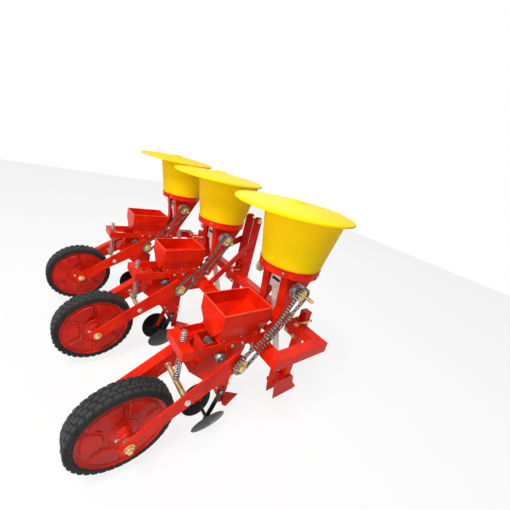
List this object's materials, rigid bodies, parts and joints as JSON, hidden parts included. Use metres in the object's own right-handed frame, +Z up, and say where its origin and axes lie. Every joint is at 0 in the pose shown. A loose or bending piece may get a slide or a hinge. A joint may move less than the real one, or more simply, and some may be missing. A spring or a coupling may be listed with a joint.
{
  "type": "corn planter",
  "caption": "Multi-row seed and fertilizer planter on a square-tube frame with a hitch mast, seed boxes, round hoppers with lids, covering discs and sprung press wheels.",
  "frame": {"origin": "on the ground under the middle of the bounding box", "axes": "+X to the machine's right, +Y the way it is towed, +Z up"},
  "size_m": [1.688, 1.1202, 1.08],
  "materials": {
    "red_paint": "glossy sprayed paint over folded sheet and tube, a little worn at edges",
    "yellow_plastic": "rotomoulded plastic, smooth satin gloss",
    "black_paint": "black paint, semi gloss",
    "tyre_rubber": "moulded block tread, matte sidewall",
    "spring_steel": "bright drawn steel",
    "yellow_zinc": "yellow passivated zinc plating",
    "chain_steel": "oiled dark roller chain",
    "white_plastic": "translucent white plastic"
  },
  "bodies": {
    "machine": {"main_frame": "red_paint", "hitch_mast": "red_paint", "top_link_pin": "yellow_zinc", "unit_frame_right": "red_paint", "seed_opener_right": "red_paint", "fertilizer_stand_right": "red_paint", "fertilizer_opener_right": "red_paint", "hopper_right": "yellow_plastic", "drop_funnel_right": "white_plastic", "feed_chain_right": "chain_steel", "press_spring_right": "spring_steel", "unit_frame_middle": "red_paint", "seed_opener_middle": "red_paint", "fertilizer_stand_middle": "red_paint", "fertilizer_opener_middle": "red_paint", "hopper_middle": "yellow_plastic", "drop_funnel_middle": "white_plastic", "feed_chain_middle": "chain_steel", "press_spring_middle": "spring_steel", "unit_frame_left": "red_paint", "seed_opener_left": "red_paint", "fertilizer_stand_left": "red_paint", "fertilizer_opener_left": "red_paint", "hopper_left": "yellow_plastic", "drop_funnel_left": "white_plastic", "feed_chain_left": "chain_steel", "press_spring_left": "spring_steel"},
    "arms_right": {"arm_right_right": "red_paint", "chain_case_right": "red_paint"},
    "wheel_right": {"press_tyre_right": "tyre_rubber", "press_wheel_right": "red_paint"},
    "rod_right": {"spring_rod_right": "yellow_zinc"},
    "mid_right": {"mid_shaft_right": "yellow_zinc"},
    "feed_right": {"feed_shaft_right": "spring_steel"},
    "roller_right": {"seed_roller_right": "spring_steel"},
    "disc_right_right": {"covering_disc_right_right": "black_paint"},
    "disc_left_right": {"covering_disc_left_right": "black_paint"},
    "lid_right": {"hopper_lid_right": "yellow_plastic"},
    "arms_middle": {"arm_right_middle": "red_paint", "chain_case_middle": "red_paint"},
    "wheel_middle": {"press_tyre_middle": "tyre_rubber", "press_wheel_middle": "red_paint"},
    "rod_middle": {"spring_rod_middle": "yellow_zinc"},
    "mid_middle": {"mid_shaft_middle": "yellow_zinc"},
    "feed_middle": {"feed_shaft_middle": "spring_steel"},
    "roller_middle": {"seed_roller_middle": "spring_steel"},
    "disc_right_middle": {"covering_disc_right_middle": "black_paint"},
    "disc_left_middle": {"covering_disc_left_middle": "black_paint"},
    "lid_middle": {"hopper_lid_middle": "yellow_plastic"},
    "arms_left": {"arm_right_left": "red_paint", "chain_case_left": "red_paint"},
    "wheel_left": {"press_tyre_left": "tyre_rubber", "press_wheel_left": "red_paint"},
    "rod_left": {"spring_rod_left": "yellow_zinc"},
    "mid_left": {"mid_shaft_left": "yellow_zinc"},
    "feed_left": {"feed_shaft_left": "spring_steel"},
    "roller_left": {"seed_roller_left": "spring_steel"},
    "disc_right_left": {"covering_disc_right_left": "black_paint"},
    "disc_left_left": {"covering_disc_left_left": "black_paint"},
    "lid_left": {"hopper_lid_left": "yellow_plastic"}
  },
  "joints": [
    {"name": "arm_swing_right", "type": "hinge", "parent": "machine", "child": "arms_right", "pos_m": [0.6, 0.002, 0.4353], "axis": [-1, 0, 0], "range_deg": [0, 25], "stiffness_Nm_per_rad": 90, "springref_deg": -14.32, "deforming": ["press_spring_right"]},
    {"name": "wheel_spin_right", "type": "hinge", "parent": "arms_right", "child": "wheel_right", "pos_m": [0.6, -0.3839, 0.224], "axis": [1, 0, 0], "continuous": true},
    {"name": "rod_tilt_right", "type": "hinge", "parent": "arms_right", "child": "rod_right", "pos_m": [0.6, -0.198, 0.335], "axis": [-1, 0, 0], "range_deg": [-12, 0]},
    {"name": "mid_spin_right", "type": "hinge", "parent": "machine", "child": "mid_right", "pos_m": [0.6, 0.002, 0.4353], "axis": [1, 0, 0], "continuous": true},
    {"name": "feed_spin_right", "type": "hinge", "parent": "machine", "child": "feed_right", "pos_m": [0.6, 0.2388, 0.7233], "axis": [1, 0, 0], "continuous": true},
    {"name": "roller_spin_right", "type": "hinge", "parent": "machine", "child": "roller_right", "pos_m": [0.6, -0.0625, 0.455], "axis": [1, 0, 0], "continuous": true},
    {"name": "disc_right_spin_right", "type": "hinge", "parent": "machine", "child": "disc_right_right", "pos_m": [0.663, -0.034, 0.07546], "axis": [0.9613, 0, -0.2756], "continuous": true},
    {"name": "disc_left_spin_right", "type": "hinge", "parent": "machine", "child": "disc_left_right", "pos_m": [0.537, -0.034, 0.07546], "axis": [-0.9613, 0, -0.2756], "continuous": true},
    {"name": "lid_lift_right", "type": "slide", "parent": "machine", "child": "lid_right", "axis": [0, 0, 1], "range_m": [0, 0.3]},
    {"name": "arm_swing_middle", "type": "hinge", "parent": "machine", "child": "arms_middle", "pos_m": [0, 0.002, 0.4353], "axis": [-1, 0, 0], "range_deg": [0, 25], "stiffness_Nm_per_rad": 90, "springref_deg": -14.32, "deforming": ["press_spring_middle"]},
    {"name": "wheel_spin_middle", "type": "hinge", "parent": "arms_middle", "child": "wheel_middle", "pos_m": [0, -0.3839, 0.224], "axis": [1, 0, 0], "continuous": true},
    {"name": "rod_tilt_middle", "type": "hinge", "parent": "arms_middle", "child": "rod_middle", "pos_m": [0, -0.198, 0.335], "axis": [-1, 0, 0], "range_deg": [-12, 0]},
    {"name": "mid_spin_middle", "type": "hinge", "parent": "machine", "child": "mid_middle", "pos_m": [0, 0.002, 0.4353], "axis": [1, 0, 0], "continuous": true},
    {"name": "feed_spin_middle", "type": "hinge", "parent": "machine", "child": "feed_middle", "pos_m": [0, 0.2388, 0.7233], "axis": [1, 0, 0], "continuous": true},
    {"name": "roller_spin_middle", "type": "hinge", "parent": "machine", "child": "roller_middle", "pos_m": [0, -0.0625, 0.455], "axis": [1, 0, 0], "continuous": true},
    {"name": "disc_right_spin_middle", "type": "hinge", "parent": "machine", "child": "disc_right_middle", "pos_m": [0.063, -0.034, 0.07546], "axis": [0.9613, 0, -0.2756], "continuous": true},
    {"name": "disc_left_spin_middle", "type": "hinge", "parent": "machine", "child": "disc_left_middle", "pos_m": [-0.063, -0.034, 0.07546], "axis": [-0.9613, 0, -0.2756], "continuous": true},
    {"name": "lid_lift_middle", "type": "slide", "parent": "machine", "child": "lid_middle", "axis": [0, 0, 1], "range_m": [0, 0.3]},
    {"name": "arm_swing_left", "type": "hinge", "parent": "machine", "child": "arms_left", "pos_m": [-0.6, 0.002, 0.4353], "axis": [-1, 0, 0], "range_deg": [0, 25], "stiffness_Nm_per_rad": 90, "springref_deg": -14.32, "deforming": ["press_spring_left"]},
    {"name": "wheel_spin_left", "type": "hinge", "parent": "arms_left", "child": "wheel_left", "pos_m": [-0.6, -0.3839, 0.224], "axis": [1, 0, 0], "continuous": true},
    {"name": "rod_tilt_left", "type": "hinge", "parent": "arms_left", "child": "rod_left", "pos_m": [-0.6, -0.198, 0.335], "axis": [-1, 0, 0], "range_deg": [-12, 0]},
    {"name": "mid_spin_left", "type": "hinge", "parent": "machine", "child": "mid_left", "pos_m": [-0.6, 0.002, 0.4353], "axis": [1, 0, 0], "continuous": true},
    {"name": "feed_spin_left", "type": "hinge", "parent": "machine", "child": "feed_left", "pos_m": [-0.6, 0.2388, 0.7233], "axis": [1, 0, 0], "continuous": true},
    {"name": "roller_spin_left", "type": "hinge", "parent": "machine", "child": "roller_left", "pos_m": [-0.6, -0.0625, 0.455], "axis": [1, 0, 0], "continuous": true},
    {"name": "disc_right_spin_left", "type": "hinge", "parent": "machine", "child": "disc_right_left", "pos_m": [-0.537, -0.034, 0.07546], "axis": [0.9613, 0, -0.2756], "continuous": true},
    {"name": "disc_left_spin_left", "type": "hinge", "parent": "machine", "child": "disc_left_left", "pos_m": [-0.663, -0.034, 0.07546], "axis": [-0.9613, 0, -0.2756], "continuous": true},
    {"name": "lid_lift_left", "type": "slide", "parent": "machine", "child": "lid_left", "axis": [0, 0, 1], "range_m": [0, 0.3]}
  ],
  "couplings": [
    {"joint": "mid_spin_right", "follows": "wheel_spin_right", "ratio": 1},
    {"joint": "feed_spin_right", "follows": "wheel_spin_right", "ratio": 1},
    {"joint": "roller_spin_right", "follows": "wheel_spin_right", "ratio": 1},
    {"joint": "rod_tilt_right", "follows": "arm_swing_right", "ratio": -0.42},
    {"joint": "mid_spin_middle", "follows": "wheel_spin_middle", "ratio": 1},
    {"joint": "feed_spin_middle", "follows": "wheel_spin_middle", "ratio": 1},
    {"joint": "roller_spin_middle", "follows": "wheel_spin_middle", "ratio": 1},
    {"joint": "rod_tilt_middle", "follows": "arm_swing_middle", "ratio": -0.42},
    {"joint": "mid_spin_left", "follows": "wheel_spin_left", "ratio": 1},
    {"joint": "feed_spin_left", "follows": "wheel_spin_left", "ratio": 1},
    {"joint": "roller_spin_left", "follows": "wheel_spin_left", "ratio": 1},
    {"joint": "rod_tilt_left", "follows": "arm_swing_left", "ratio": -0.42}
  ]
}
